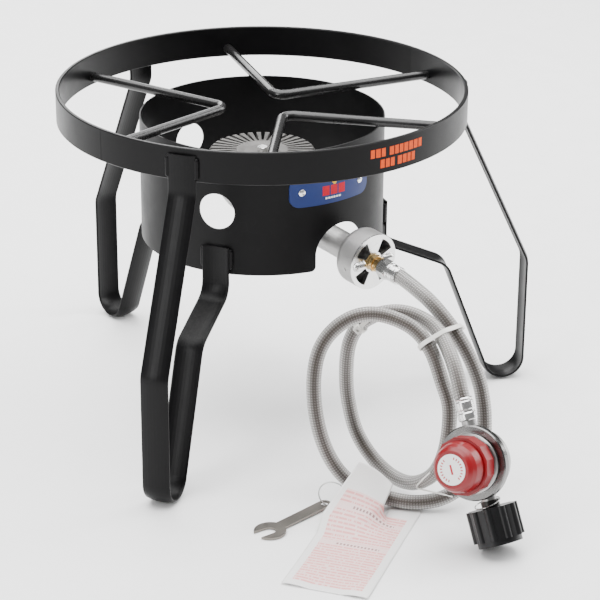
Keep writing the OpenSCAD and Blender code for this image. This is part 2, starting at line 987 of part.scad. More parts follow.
// The ring rolled over both flanges
module regulator_rim() {
    lip = 1.4;
    top = rim_z + film_t / 2 + 2;
    color([0.75, 0.76, 0.78])
        in_regulator()
            rotate_extrude()
                polygon([
                    [reg_r - 3, flange_z], [reg_r - 5.8, flange_z], [reg_r - 5.8, flange_z - lip],
                    [reg_r - 1, flange_z - lip], [reg_r, flange_z - lip + 1], [reg_r, top + lip - 1],
                    [reg_r - 1, top + lip], [reg_r - 6, top + lip], [reg_r - 6, top],
                    [reg_r - 3, top]
                ]);
}

module diaphragm() {
    color([0.1, 0.1, 0.1])
        in_regulator()
            translate([0, 0, rim_z - film_t / 2])
                cylinder(r = reg_r - 3, h = film_t);
}

module diaphragm_plate() {
    color([0.75, 0.75, 0.73])
        in_regulator()
            translate([0, 0, rim_z + film_t / 2]) {
                cylinder(r = 12, h = pad_h);
                cylinder(r = 4, h = pad_h + 2);
            }
}

module regulator_spring() {
    turns = 3;
    steps = 14;
    wire = 1;
    base = rim_z + film_t / 2 + pad_h + wire;
    pitch = 2.9;
    helix = [
        for (k = [0 : turns * steps])
            [7.5 * cos(360 * k / steps), 7.5 * sin(360 * k / steps), base + pitch * k / steps]
    ];
    color([0.6, 0.6, 0.62])
        in_regulator()
            swept_tube(helix, wire, 8, [0, 0, 1]);
}

// The seat that the knob's screw pushes down on the spring
module spring_button() {
    color([0.78, 0.6, 0.3])
        in_regulator()
            translate([0, 0, button_z]) {
                cylinder(r = spring_bore - run_gap, h = button_h);
                translate([0, 0, -3])
                    cylinder(r = 5, h = 4);
            }
}

module knob() {
    skirt_h = 13;
    flats = 12;
    color([0.7, 0.15, 0.12])
        in_regulator()
            translate([0, 0, knob_z])
                difference() {
                    union() {
                        linear_extrude(skirt_h)
                            circle(r = knob_d / 2, $fn = flats);
                        rotate_extrude()
                            polygon([
                                [0, skirt_h], [knob_d / 2 - 4, skirt_h], [knob_d / 2 - 3.5, skirt_h + 3],
                                [knob_d / 2 - 5, knob_h - 7], [knob_d / 2 - 7, knob_h - 3],
                                [knob_d / 2 - 10, knob_h], [0, knob_h]
                            ]);
                    }
                    difference() {
                        translate([0, 0, -1])
                            cylinder(r = neck_r + run_gap, h = neck_top - knob_z + 2);
                        translate([0, 0, screw_z - knob_z])
                            cylinder(r = 4.5, h = knob_h);
                    }
                    translate([0, 0, knob_h - 1])
                        cylinder(r = disc_r + snug, h = 2);
                }
}

module knob_disc() {
    color([0.9, 0.9, 0.9])
        in_regulator()
            translate([0, 0, knob_z + knob_h - 1])
                cylinder(r = disc_r, h = 1.3);
}

// The stem that the cylinder nut turns on, with the nut held between two shoulders
module inlet_stem() {
    color([0.78, 0.6, 0.3])
        difference() {
            along_stem(0)
                rotate_extrude()
                    polygon([
                        [0, reg_r - 6], [port_r, reg_r - 6], [port_r, reg_r + 2],
                        [8.5, reg_r + 2], [8.5, nut_start - face_gap], [stem_r, nut_start - face_gap],
                        [stem_r, nut_floor + face_gap], [10, nut_floor + face_gap],
                        [10, nut_floor + 4], [6, nut_floor + 4], [6, nut_floor + 12],
                        [0, nut_floor + 12]
                    ]);
            along_stem(reg_r - 8)
                cylinder(r = 2, h = 60);
        }
}

module stem_nose() {
    color([0.05, 0.05, 0.05])
        along_stem(nut_floor + 12)
            difference() {
                rotate_extrude()
                    polygon([[0, 0], [6, 0], [6, 2], [7.5, 3.5], [7.5, 6], [4, 11], [0, 11]]);
                translate([0, 0, -1])
                    cylinder(r = 2, h = 14);
            }
}

module cylinder_nut() {
    ribs = 10;
    inner_r = nut_d / 2 - 2.2;
    color([0.04, 0.04, 0.04])
        along_stem(nut_start)
            difference() {
                union() {
                    linear_extrude(nut_l - 5) {
                        circle(inner_r);
                        for (k = [0 : ribs - 1])
                            rotate(360 * k / ribs)
                                translate([inner_r - 1.3, 0])
                                    circle(3.5);
                    }
                    translate([0, 0, nut_l - 6])
                        cylinder(r = lip_r, h = 6);
                }
                translate([0, 0, -1])
                    cylinder(r = stem_r + run_gap, h = 10);
                translate([0, 0, nut_floor - nut_start])
                    cylinder(r = mouth_r, h = nut_l);
            }
}

// A wire ring that hangs on the stem, above the nut
module stem_clip() {
    tilt = 16;
    color([0.7, 0.7, 0.68])
        along_stem(nut_start - 4.4)
            translate([-2.8, 0, 0])
                rotate([tilt, 0, 0])
                    rotate_extrude()
                        translate([clip_r, 0])
                            circle(r = 0.6);
}

// ---------- tag, string, spanner ----------

function ramp(x) = let (t = min(max(x, 0), 1)) t * t * (3 - 2 * t);
// Place of the tag's point u along it and t across it: past the bend its left strip rises
// and swings right, over the hose
function tag_place(u, t) =
    let (
        over = ramp((tag_slit + 6 - t) / 12),
        a = max(u - tag_bend, 0) * over,
        swing = 0.35 * max(a - 20, 0) * max(1 - t / tag_slit, 0)
    )
    [u - a * max(0.22 - 0.0036 * t, 0), -t - swing, a * max(tag_rise - 0.0068 * t, 0)];

module tag() {
    nu = tag_cells[0];
    nt = tag_cells[1];
    cols = nt + 1;
    count = (nu + 1) * cols;
    bottom = [
        for (i = [0 : nu], j = [0 : nt])
            let (u = tag_l * i / nu, t = tag_w * j / nt)
            tag_place(u, t)
    ];
    top = [for (p = bottom) p + [0, 0, tag_t]];
    quads = [
        for (i = [0 : nu - 1], j = [0 : nt - 1])
            let (a = i * cols + j, b = a + cols)
            each [[a, a + 1, b + 1], [a, b + 1, b]]
    ];
    lid = [for (f = quads) [count + f[2], count + f[1], count + f[0]]];
    rim_loop = concat(
        [for (j = [0 : nt - 1]) j],
        [for (i = [0 : nu - 1]) i * cols + nt],
        [for (j = [0 : nt - 1]) count - 1 - j],
        [for (i = [0 : nu - 1]) (nu - i) * cols]
    );
    n = len(rim_loop);
    sides = [
        for (k = [0 : n - 1])
            let (a = rim_loop[k], b = rim_loop[(k + 1) % n])
            each [[a, a + count, b + count], [a, b + count, b]]
    ];
    color([0.93, 0.85, 0.84])
        translate([tag_at[0], tag_at[1], 0.02])
            rotate([0, 0, tag_turn])
                polyhedron(points = concat(bottom, top), faces = concat(quads, lid, sides));
}

module tag_string() {
    color([0.95, 0.95, 0.93])
        swept_tube(smooth(string_points, 3), string_r, 6, [0.3, 0.2, 1]);
}

// A wire ring through the spanner's hole, standing on the floor
module wire_ring() {
    color([0.5, 0.5, 0.5])
        translate([spanner_at[0], spanner_at[1], wire_ring_r + wire_r + 0.05])
            rotate([90, 0, wire_turn])
                translate([wire_out, 0, 0])
                    rotate_extrude()
                        translate([wire_ring_r, 0])
                            circle(r = wire_r);
}

// The spanner's jaw end rests on the floor and the ring lifts its other end
module spanner() {
    head_r = 15;
    jaw = 12;
    neck = spanner_tip - head_r;
    color([0.35, 0.34, 0.32])
        translate([spanner_at[0], spanner_at[1], spanner_tip * sin(spanner_tilt)])
            rotate([0, spanner_tilt, 180 + spanner_turn])
                linear_extrude(spanner_t)
                    difference() {
                        union() {
                            circle(d = spanner_w);
                            translate([0, -spanner_w / 2])
                                square([neck, spanner_w]);
                            translate([neck, 0])
                                circle(head_r);
                        }
                        circle(spanner_hole);
                        translate([neck + 1, 0])
                            rotate(spanner_jaw_turn) {
                                translate([0, -jaw / 2])
                                    square([head_r + 6, jaw]);
                                circle(jaw / 2);
                            }
                    }
}

// ---------- what to draw ----------

ring();
leg_left();
leg_right();
leg_back();
rod_front();
rod_right();
rod_left();
weld_beads();
wind_shield();
name_plate();
plate_rivets();
burner_bracket();
burner_body();
burner_crown();
burner_bolt();
burner_washer();
burner_nut();
bell_screw();
air_shutter();
orifice_fitting();
swivel_nut();
hose_ferrule_burner();
hose();
hose_ferrule_regulator();
hose_tie();
small_tie();
regulator_body();
regulator_bonnet();
regulator_rim();
diaphragm();
diaphragm_plate();
regulator_spring();
spring_button();
knob();
knob_disc();
inlet_stem();
stem_nose();
cylinder_nut();
stem_clip();
tag();
tag_string();
wire_ring();
spanner();
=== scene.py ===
"""Gas burner stand: finishes, the braided hose and the small soft pieces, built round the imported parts."""

import math

import bpy
from mathutils import Matrix, Vector


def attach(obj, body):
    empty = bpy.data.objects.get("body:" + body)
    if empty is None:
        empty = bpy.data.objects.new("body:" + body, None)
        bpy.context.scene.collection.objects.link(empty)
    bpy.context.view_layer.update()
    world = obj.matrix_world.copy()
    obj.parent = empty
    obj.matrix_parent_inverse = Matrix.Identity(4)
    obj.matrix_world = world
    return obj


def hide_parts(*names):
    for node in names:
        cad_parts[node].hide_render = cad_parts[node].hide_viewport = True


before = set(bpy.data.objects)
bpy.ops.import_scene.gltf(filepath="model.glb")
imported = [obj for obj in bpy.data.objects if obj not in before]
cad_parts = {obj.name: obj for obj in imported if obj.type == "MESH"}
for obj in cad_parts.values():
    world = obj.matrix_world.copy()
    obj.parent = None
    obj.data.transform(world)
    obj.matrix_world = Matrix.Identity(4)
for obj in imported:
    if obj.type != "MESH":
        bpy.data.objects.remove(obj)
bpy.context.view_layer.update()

MM = 0.001
STAND = "stand"
KNOB = "knob_turn"

# ---------- sizes, in millimetres, as in the part's own source ----------

RING_RADIUS = 203.0
RING_LOW, RING_TOP = 302.5, 334.0
SHIELD_RADIUS = 121.7
PLATE_RADIUS = SHIELD_RADIUS + 1.0
PLATE_MIDDLE_HEIGHT = 263.25
PLATE_TURN = -5.0

AXIS_HEIGHT = 211.75
INLET_SLOPE = math.radians(4.5)
INLET_DIRECTION = Vector((0, -math.cos(INLET_SLOPE), -math.sin(INLET_SLOPE)))
HOSE_IN = 197.5
HOSE_RADIUS = 7.0

KNOB_TURN, KNOB_TILT, KNOB_SPIN = math.radians(-74), math.radians(14), math.radians(27)
REGULATOR_CENTRE = Vector((-42, -364, 76.897))
REGULATOR_FRAME = (
    Matrix.Rotation(KNOB_TURN, 3, "Z")
    @ Matrix.Rotation(math.radians(90) - KNOB_TILT, 3, "X")
    @ Matrix.Rotation(KNOB_SPIN, 3, "Z")
)
OUTLET_DIRECTION = REGULATOR_FRAME @ Vector((0, 1, 0))
HOSE_OUT = 42.0
DISC_TOP = 51.8
DISC_TICK_RADIUS = 10.5

HOSE_START = Vector((0, 0, AXIS_HEIGHT)) + HOSE_IN * INLET_DIRECTION
HOSE_END = REGULATOR_CENTRE + HOSE_OUT * OUTLET_DIRECTION
HOSE_ROUTE = [
    HOSE_START,
    HOSE_START + 11 * INLET_DIRECTION,
    (-3, -233, 192), (-3, -257, 184), (2, -281, 164), (8, -297, 140), (12, -308, 114),
    (10, -317, 84), (3, -322, 51), (-12, -319, 28), (-32, -309, 13), (-53, -292, 8),
    (-70, -270, 10), (-87, -252, 19), (-100, -239, 34), (-109, -228, 58), (-113, -219, 90),
    (-110, -212, 124), (-101, -210, 151), (-86, -215, 170), (-68, -226, 181), (-50, -241, 181),
    (-35, -263, 172), (-29, -282, 155), (-29, -299, 128), (-29, -310, 104), (-35, -313, 68),
    (-39, -303, 39), (-42, -280, 20), (-44, -253, 16), (-47, -227, 26), (-52, -209, 47),
    (-55, -200, 74), (-57, -197, 104), (-57, -200, 138), (-51, -207, 159), (-40, -220, 172),
    (-26, -238, 177), (-17, -260, 174), (-17, -283, 166), (-29, -313, 152),
    HOSE_END + 20 * OUTLET_DIRECTION,
    HOSE_END,
]

TAG_CORNER = Vector((-236, -318, 0.0))
TAG_TURN = math.radians(31)
TAG_LENGTH, TAG_WIDTH = 176.0, 80.0
TAG_BEND, TAG_RISE = 97.0, 0.6
TAG_SLIT, TAG_SLIT_START = 50.0, 146.0

STRING_ROUTE = [
    (-29.5, -318.6, 17), (-37, -309.4, 19), (-43, -299, 19.8), (-48, -289.5, 21),
    (-48, -295, 30), (-46.5, -304.6, 42),
]


# ---------- making ----------

def deselect_all():
    bpy.ops.object.select_all(action="DESELECT")


def smooth_points(route, steps):
    """Points on the smooth curve through a route, the same curve as the part's hose follows."""
    route = [Vector(p) for p in route]
    last = len(route) - 1
    points = []
    for i in range(last):
        before, here, there, after = (route[min(max(i + k, 0), last)] for k in (-1, 0, 1, 2))
        for step in range(steps):
            t = step / steps
            points.append(
                0.5
                * (
                    2 * here
                    + (there - before) * t
                    + (2 * before - 5 * here + 4 * there - after) * t * t
                    + (3 * here - before - 3 * there + after) * t**3
                )
            )
    points.append(route[last])
    return points


def mesh_object(name, vertices, faces, uvs=None, smooth=True):
    """A piece from vertices in millimetres; uvs is one (u, v) for each vertex of each face."""
    mesh = bpy.data.meshes.new(name)
    mesh.from_pydata([tuple(Vector(v) * MM) for v in vertices], [], faces)
    if uvs is not None:
        layer = mesh.uv_layers.new(name="UVMap")
        for loop, uv in zip(layer.data, uvs):
            loop.uv = uv
    mesh.polygons.foreach_set("use_smooth", [smooth] * len(mesh.polygons))
    mesh.update()
    piece = bpy.data.objects.new(name, mesh)
    bpy.context.scene.collection.objects.link(piece)
    return piece


def tube(name, points, radius, sides):
    """A closed round tube along points, with its length in millimetres as the map's second value."""
    normal = Vector((-0.64, -0.76, 0.1))
    vertices, lengths = [], [0.0]
    for i, point in enumerate(points):
        if i:
            lengths.append(lengths[-1] + (point - points[i - 1]).length)
        tangent = (points[min(i + 1, len(points) - 1)] - points[max(i - 1, 0)]).normalized()
        normal = (normal - normal.dot(tangent) * tangent).normalized()
        across = tangent.cross(normal)
        for k in range(sides):
            angle = 2 * math.pi * k / sides
            vertices.append(point + radius * (math.cos(angle) * normal + math.sin(angle) * across))
    faces, uvs = [], []
    for i in range(len(points) - 1):
        for k in range(sides):
            a, b = i * sides + k, i * sides + (k + 1) % sides
            faces.append((a, b, b + sides, a + sides))
            u0, u1 = k / sides, (k + 1) / sides
            uvs += [(u0, lengths[i]), (u1, lengths[i]), (u1, lengths[i + 1]), (u0, lengths[i + 1])]
    first = tuple(reversed(range(sides)))
    final = tuple(range((len(points) - 1) * sides, len(points) * sides))
    for cap, length in ((first, 0.0), (final, lengths[-1])):
        faces.append(cap)
        uvs += [(0.5, length)] * sides
    return mesh_object(name, vertices, faces, uvs), lengths[-1]


# ---------- shader helpers ----------

def add_node(tree, kind, links=(), **settings):
    """A shader node with its settings; links are (input name or number, value or socket)."""
    node = tree.nodes.new(kind)
    for name, value in settings.items():
        setattr(node, name, value)
    for socket, value in links:
        target = node.inputs[socket]
        if isinstance(value, bpy.types.NodeSocket):
            tree.links.new(value, target)
        else:
            target.default_value = value
    return node


def maths(tree, operation, *values):
    node = add_node(tree, "ShaderNodeMath", list(enumerate(values)), operation=operation)
    return node.outputs[0]


def remap(tree, value, low, high, to_low, to_high):
    node = add_node(
        tree,
        "ShaderNodeMapRange",
        [("Value", value), ("From Min", low), ("From Max", high), ("To Min", to_low), ("To Max", to_high)],
    )
    return node.outputs["Result"]


def mix_colour(tree, factor, first, second):
    node = add_node(tree, "ShaderNodeMix", data_type="RGBA")
    for socket, value in ((node.inputs[0], factor), (node.inputs[6], first), (node.inputs[7], second)):
        if isinstance(value, bpy.types.NodeSocket):
            tree.links.new(value, socket)
        else:
            socket.default_value = value
    return node.outputs[2]


def new_group(name, inputs, outputs):
    """An empty effect group with its sockets; returns it with its input and output nodes."""
    tree = bpy.data.node_groups.new(name, "ShaderNodeTree")
    for label, kind, default in inputs:
        socket = tree.interface.new_socket(name=label, in_out="INPUT", socket_type=kind)
        if default is not None:
            socket.default_value = default
    for label, kind in outputs:
        tree.interface.new_socket(name=label, in_out="OUTPUT", socket_type=kind)
    return tree, tree.nodes.new("NodeGroupInput"), tree.nodes.new("NodeGroupOutput")


FLOAT, VECTOR = "NodeSocketFloat", "NodeSocketVector"


def make_grain_group():
    """Fine grain and broad unevenness, each from 0 to 1."""
    tree, given, out = new_group(
        "grain",
        [("Vector", VECTOR, None), ("Fine Scale", FLOAT, 900.0), ("Broad Scale", FLOAT, 25.0)],
        [("Fine", FLOAT), ("Broad", FLOAT)],
    )
    fine = add_node(
        tree,
        "ShaderNodeTexNoise",
        [("Vector", given.outputs[0]), ("Scale", given.outputs[1]), ("Detail", 4.0), ("Roughness", 0.6)],
    )
    broad = add_node(
        tree,
        "ShaderNodeTexNoise",
        [("Vector", given.outputs[0]), ("Scale", given.outputs[2]), ("Detail", 6.0), ("Roughness", 0.65)],
    )
    tree.links.new(remap(tree, fine.outputs["Fac"], 0.3, 0.7, 0.0, 1.0), out.inputs["Fine"])
    tree.links.new(remap(tree, broad.outputs["Fac"], 0.3, 0.7, 0.0, 1.0), out.inputs["Broad"])
    return tree


def make_scuff_group():
    """Thin random scratches: 1 on a scratch, 0 elsewhere."""
    tree, given, out = new_group(
        "scuffs",
        [("Vector", VECTOR, None), ("Scale", FLOAT, 60.0), ("Amount", FLOAT, 0.5)],
        [("Scratch", FLOAT)],
    )
    warp = add_node(
        tree, "ShaderNodeTexNoise", [("Vector", given.outputs[0]), ("Scale", 18.0), ("Detail", 2.0)]
    )
    bent = add_node(tree, "ShaderNodeMix", [(0, 0.06)], data_type="VECTOR")
    tree.links.new(given.outputs[0], bent.inputs[4])
    tree.links.new(warp.outputs["Color"], bent.inputs[5])
    cells = add_node(
        tree,
        "ShaderNodeTexVoronoi",
        [("Vector", bent.outputs[1]), ("Scale", given.outputs[1])],
        feature="DISTANCE_TO_EDGE",
    )
    line = remap(tree, cells.outputs["Distance"], 0.0, 0.018, 1.0, 0.0)
    patch = add_node(
        tree, "ShaderNodeTexNoise", [("Vector", given.outputs[0]), ("Scale", 33.0), ("Detail", 3.0)]
    )
    kept = remap(tree, patch.outputs["Fac"], 0.52, 0.66, 0.0, 1.0)
    scratch = maths(tree, "MULTIPLY", maths(tree, "MULTIPLY", line, kept), given.outputs[2])
    tree.links.new(scratch, out.inputs["Scratch"])
    return tree


def make_dust_group():
    """Fine dust that lies on faces looking up, from 0 to 1."""
    tree, given, out = new_group(
        "dust", [("Vector", VECTOR, None), ("Amount", FLOAT, 0.3)], [("Dust", FLOAT)]
    )
    normal = add_node(tree, "ShaderNodeTexCoord").outputs["Normal"]
    up = add_node(tree, "ShaderNodeSeparateXYZ", [(0, normal)]).outputs["Z"]
    speck = add_node(
        tree,
        "ShaderNodeTexNoise",
        [("Vector", given.outputs[0]), ("Scale", 220.0), ("Detail", 8.0), ("Roughness", 0.75)],
    )
    upward = remap(tree, up, 0.55, 1.0, 0.0, 1.0)
    specks = remap(tree, speck.outputs["Fac"], 0.45, 0.75, 0.0, 1.0)
    dust = maths(tree, "MULTIPLY", maths(tree, "MULTIPLY", upward, specks), given.outputs[1])
    tree.links.new(dust, out.inputs["Dust"])
    return tree


WIRES_PHASE = 28.0


def make_braid_group():
    """Two crossing sets of flat wire bundles on a hose, over one and under one."""
    tree, given, out = new_group(
        "braid",
        [("UV", VECTOR, None), ("Bundles", FLOAT, 14.0), ("Pitch", FLOAT, 0.2)],
        [("Height", FLOAT), ("Gap", FLOAT), ("Side", FLOAT)],
    )
    parts = add_node(tree, "ShaderNodeSeparateXYZ", [(0, given.outputs[0])])
    around = maths(tree, "MULTIPLY", parts.outputs["X"], given.outputs[1])
    along = maths(tree, "MULTIPLY", parts.outputs["Y"], given.outputs[2])
    one = maths(tree, "ADD", around, along)
    two = maths(tree, "SUBTRACT", around, along)
    profiles = []
    for strand in (one, two):
        fraction = maths(tree, "FRACT", strand)
        profiles.append(maths(tree, "SINE", maths(tree, "MULTIPLY", fraction, math.pi)))
    cell = maths(tree, "ADD", maths(tree, "FLOOR", one), maths(tree, "FLOOR", two))
    side = maths(tree, "PINGPONG", cell, 1.0)
    upper = maths(
        tree,
        "ADD",
        maths(tree, "MULTIPLY", profiles[0], maths(tree, "SUBTRACT", 1.0, side)),
        maths(tree, "MULTIPLY", profiles[1], side),
    )
    lower = maths(
        tree,
        "ADD",
        maths(tree, "MULTIPLY", profiles[1], maths(tree, "SUBTRACT", 1.0, side)),
        maths(tree, "MULTIPLY", profiles[0], side),
    )
    crown = maths(tree, "POWER", upper, 0.5)
    height = maths(tree, "MULTIPLY", crown, maths(tree, "ADD", 0.55, maths(tree, "MULTIPLY", lower, 0.45)))
    strand = maths(tree, "ADD", one, maths(tree, "MULTIPLY", side, two))
    wires = maths(tree, "SINE", maths(tree, "MULTIPLY", strand, WIRES_PHASE))
    height = maths(tree, "ADD", height, maths(tree, "MULTIPLY", wires, 0.06))
    tree.links.new(height, out.inputs["Height"])
    # Gap is 1 between the strands and Side picks the strand on top; the hose's finish uses both as masks for
    # painted shade.
    tree.links.new(remap(tree, upper, 0.0, 0.45, 1.0, 0.0), out.inputs["Gap"])
    tree.links.new(side, out.inputs["Side"])
    return tree


DUST_COLOUR = (0.5, 0.48, 0.45, 1.0)
COAT_ROUGHNESS = 0.1
GRAIN = make_grain_group()
SCUFFS = make_scuff_group()
DUST = make_dust_group()
BRAID = make_braid_group()


def use_group(tree, group, *links):
    node = add_node(tree, "ShaderNodeGroup", node_tree=group)
    for socket, value in links:
        if isinstance(value, bpy.types.NodeSocket):
            tree.links.new(value, node.inputs[socket])
        else:
            node.inputs[socket].default_value = value
    return node


def empty_material(name):
    material = bpy.data.materials.new(name)
    material.use_nodes = True
    tree = material.node_tree
    shader = tree.nodes["Principled BSDF"]
    place = tree.nodes.new("ShaderNodeTexCoord")
    return material, tree, shader, place


def shade(colour, factor):
    return tuple(min(c * factor, 1.0) for c in colour[:3]) + (1.0,)


def finish_material(
    name,
    colour,
    metallic=0.0,
    roughness=0.4,
    spread=0.1,
    variation=0.12,
    fine_scale=900.0,
    broad_scale=25.0,
    bump=0.2,
    bump_depth=0.0002,
    scuffs=0.0,
    scuff_shade=1.8,
    dust=0.0,
    coat=0.0,
    specular=0.5,
):
    """A surface with broad unevenness, fine grain and, when asked, scratches and dust."""
    material, tree, shader, place = empty_material(name)
    where = place.outputs["Object"]
    grain = use_group(
        tree, GRAIN, ("Vector", where), ("Fine Scale", fine_scale), ("Broad Scale", broad_scale)
    )
    base = mix_colour(
        tree, grain.outputs["Broad"], shade(colour, 1 - variation), shade(colour, 1 + variation)
    )
    rough = remap(tree, grain.outputs["Broad"], 0.0, 1.0, roughness - spread, roughness + spread)
    rough = maths(tree, "ADD", rough, maths(tree, "MULTIPLY", grain.outputs["Fine"], spread * 0.5))
    if scuffs:
        marks = use_group(tree, SCUFFS, ("Vector", where), ("Amount", scuffs))
        base = mix_colour(tree, marks.outputs["Scratch"], base, shade(colour, scuff_shade))
        rough = maths(tree, "ADD", rough, maths(tree, "MULTIPLY", marks.outputs["Scratch"], 0.15))
    if dust:
        dusty = use_group(tree, DUST, ("Vector", where), ("Amount", dust))
        base = mix_colour(tree, dusty.outputs["Dust"], base, DUST_COLOUR)
        rough = maths(tree, "ADD", rough, maths(tree, "MULTIPLY", dusty.outputs["Dust"], 0.3))
    tree.links.new(base, shader.inputs["Base Color"])
    tree.links.new(rough, shader.inputs["Roughness"])
    shader.inputs["Metallic"].default_value = metallic
    shader.inputs["Specular IOR Level"].default_value = specular
    shader.inputs["Coat Weight"].default_value = coat
    shader.inputs["Coat Roughness"].default_value = COAT_ROUGHNESS
    relief = add_node(
        tree,
        "ShaderNodeBump",
        [("Strength", bump), ("Distance", bump_depth), ("Height", grain.outputs["Fine"])],
    )
    tree.links.new(relief.outputs["Normal"], shader.inputs["Normal"])
    return material


def make_braid_material():
    material, tree, shader, place = empty_material("stainless_braid")
    weave = use_group(tree, BRAID, ("UV", place.outputs["UV"]), ("Bundles", 17.0), ("Pitch", 0.4))
    grain = use_group(tree, GRAIN, ("Vector", place.outputs["Object"]), ("Fine Scale", 1400.0))
    # Painted reflection: the braid's colour goes from dark where it faces the camera to bright towards its
    # outline, standing in for the studio it would reflect; lit and shaded are a bright and a dark copy of
    # this painted reflection.
    facing = add_node(tree, "ShaderNodeLayerWeight", [("Blend", 0.5)]).outputs["Facing"]
    painted_reflection_ramp = remap(tree, facing, 0.01, 0.4, 0.0, 1.0)
    lit = mix_colour(tree, painted_reflection_ramp, (0.12, 0.108, 0.1, 1), (0.66, 0.65, 0.635, 1))
    shaded = mix_colour(tree, painted_reflection_ramp, (0.05, 0.044, 0.04, 1), (0.2, 0.19, 0.18, 1))
    # Painted shade: every other cell of crossing strands is darkened towards the shaded copy; the fine grain
    # then darkens it a little at random.
    lit = mix_colour(tree, maths(tree, "MULTIPLY", weave.outputs["Side"], 0.7), lit, shaded)
    lit = mix_colour(tree, maths(tree, "MULTIPLY", grain.outputs["Fine"], 0.3), lit, shaded)
    # Painted shade in the gaps between the strands: where the Gap mask is 1 the braid takes this darker
    # copy, which also carries the painted reflection.
    gap_shade = mix_colour(tree, painted_reflection_ramp, (0.02, 0.018, 0.016, 1), (0.14, 0.132, 0.126, 1))
    base = mix_colour(tree, weave.outputs["Gap"], lit, gap_shade)
    tree.links.new(base, shader.inputs["Base Color"])
    shader.inputs["Metallic"].default_value = 1.0
    rough = remap(tree, grain.outputs["Broad"], 0.0, 1.0, 0.26, 0.38)
    tree.links.new(rough, shader.inputs["Roughness"])
    relief = add_node(
        tree,
        "ShaderNodeBump",
        [("Strength", 0.8), ("Distance", 0.0006), ("Height", weave.outputs["Height"])],
    )
    tree.links.new(relief.outputs["Normal"], shader.inputs["Normal"])
    return material


def make_tag_material():
    """Thin white film with rows of pink printed marks and two rows of dark dashes."""
    material, tree, shader, place = empty_material("printed_film")
    parts = add_node(tree, "ShaderNodeSeparateXYZ", [(0, place.outputs["UV"])])
    across, along = parts.outputs["X"], parts.outputs["Y"]
    rows = maths(tree, "MULTIPLY", along, 38.0)
    row_number = maths(tree, "FLOOR", rows)
    in_row = maths(tree, "LESS_THAN", maths(tree, "FRACT", rows), 0.5)
    spot = add_node(
        tree, "ShaderNodeCombineXYZ", [("X", maths(tree, "MULTIPLY", across, 60.0)), ("Y", row_number)]
    )
    words = add_node(
        tree, "ShaderNodeTexNoise", [("Vector", spot.outputs[0]), ("Scale", 0.7), ("Detail", 1.0)]
    )
    inked = maths(tree, "GREATER_THAN", words.outputs["Fac"], 0.42)

    def inside(value, low, high):
        return maths(
            tree, "MULTIPLY", maths(tree, "GREATER_THAN", value, low), maths(tree, "LESS_THAN", value, high)
        )

    field = maths(tree, "MULTIPLY", inside(across, 0.09, 0.9), inside(along, 0.05, 0.84))
    headings = maths(
        tree, "ADD", inside(along, 0.475, 0.492), inside(along, 0.735, 0.752)
    )
    bare = maths(tree, "ADD", inside(along, 0.46, 0.51), inside(along, 0.72, 0.765))
    gap_rows = maths(tree, "SUBTRACT", 1.0, bare)
    ink = maths(tree, "MULTIPLY", in_row, inked)
    ink = maths(tree, "MULTIPLY", ink, maths(tree, "MULTIPLY", field, gap_rows))
    dashes = maths(tree, "LESS_THAN", maths(tree, "FRACT", maths(tree, "MULTIPLY", across, 24.0)), 0.55)
    dark = maths(tree, "MULTIPLY", maths(tree, "MULTIPLY", headings, dashes), inside(across, 0.28, 0.8))
    tint = mix_colour(tree, maths(tree, "MULTIPLY", field, 0.8), (0.8, 0.79, 0.78, 1), (0.84, 0.58, 0.56, 1))
    base = mix_colour(tree, maths(tree, "MULTIPLY", ink, 0.7), tint, (0.74, 0.2, 0.19, 1))
    base = mix_colour(tree, maths(tree, "MULTIPLY", dark, 0.8), base, (0.16, 0.03, 0.03, 1))
    grain = use_group(tree, GRAIN, ("Vector", place.outputs["Object"]), ("Broad Scale", 60.0))
    tree.links.new(base, shader.inputs["Base Color"])
    rough = remap(tree, grain.outputs["Broad"], 0.0, 1.0, 0.28, 0.45)
    tree.links.new(rough, shader.inputs["Roughness"])
    relief = add_node(
        tree,
        "ShaderNodeBump",
        [("Strength", 0.25), ("Distance", 0.0008), ("Height", grain.outputs["Broad"])],
    )
    tree.links.new(relief.outputs["Normal"], shader.inputs["Normal"])
    return material


# ---------- camera and light ----------

CAMERA_AIM = Vector((29.63, -24.86, 102.69))
CAMERA_DISTANCE = 2296.5
CAMERA_LENS = 134.29
CAMERA_ELEVATION, CAMERA_AZIMUTH, CAMERA_ROLL = math.radians(23.3), math.radians(-40), math.radians(0.37)


def place_camera():
    """Looks from in front of the left leg, a little over the ring."""
    turn = Matrix.Rotation(CAMERA_AZIMUTH, 3, "Z")
    forward = turn @ Vector((0, math.cos(CAMERA_ELEVATION), -math.sin(CAMERA_ELEVATION)))
    right = turn @ Vector((1, 0, 0))
    up = right.cross(forward)
    level_right = right
    right = level_right * math.cos(CAMERA_ROLL) + up * math.sin(CAMERA_ROLL)
    up = up * math.cos(CAMERA_ROLL) - level_right * math.sin(CAMERA_ROLL)
    camera = bpy.data.objects.new("camera", bpy.data.cameras.new("camera"))
    bpy.context.scene.collection.objects.link(camera)
    camera.data.lens = CAMERA_LENS
    camera.data.sensor_width = 36
    camera.data.clip_end = 60
    rotation = Matrix((right, up, -forward)).transposed()
    stand_off = CAMERA_AIM - CAMERA_DISTANCE * forward
    camera.matrix_world = Matrix.Translation(stand_off * MM) @ rotation.to_4x4()
    bpy.context.scene.camera = camera


def add_softbox(name, place, aim, width, height, power):
    light = bpy.data.lights.new(name, "AREA")
    light.shape = "RECTANGLE"
    light.size, light.size_y = width, height
    light.energy = power
    lamp = bpy.data.objects.new(name, light)
    bpy.context.scene.collection.objects.link(lamp)
    lamp.location = place
    lamp.rotation_euler = (Vector(aim) - Vector(place)).to_track_quat("-Z", "Y").to_euler()


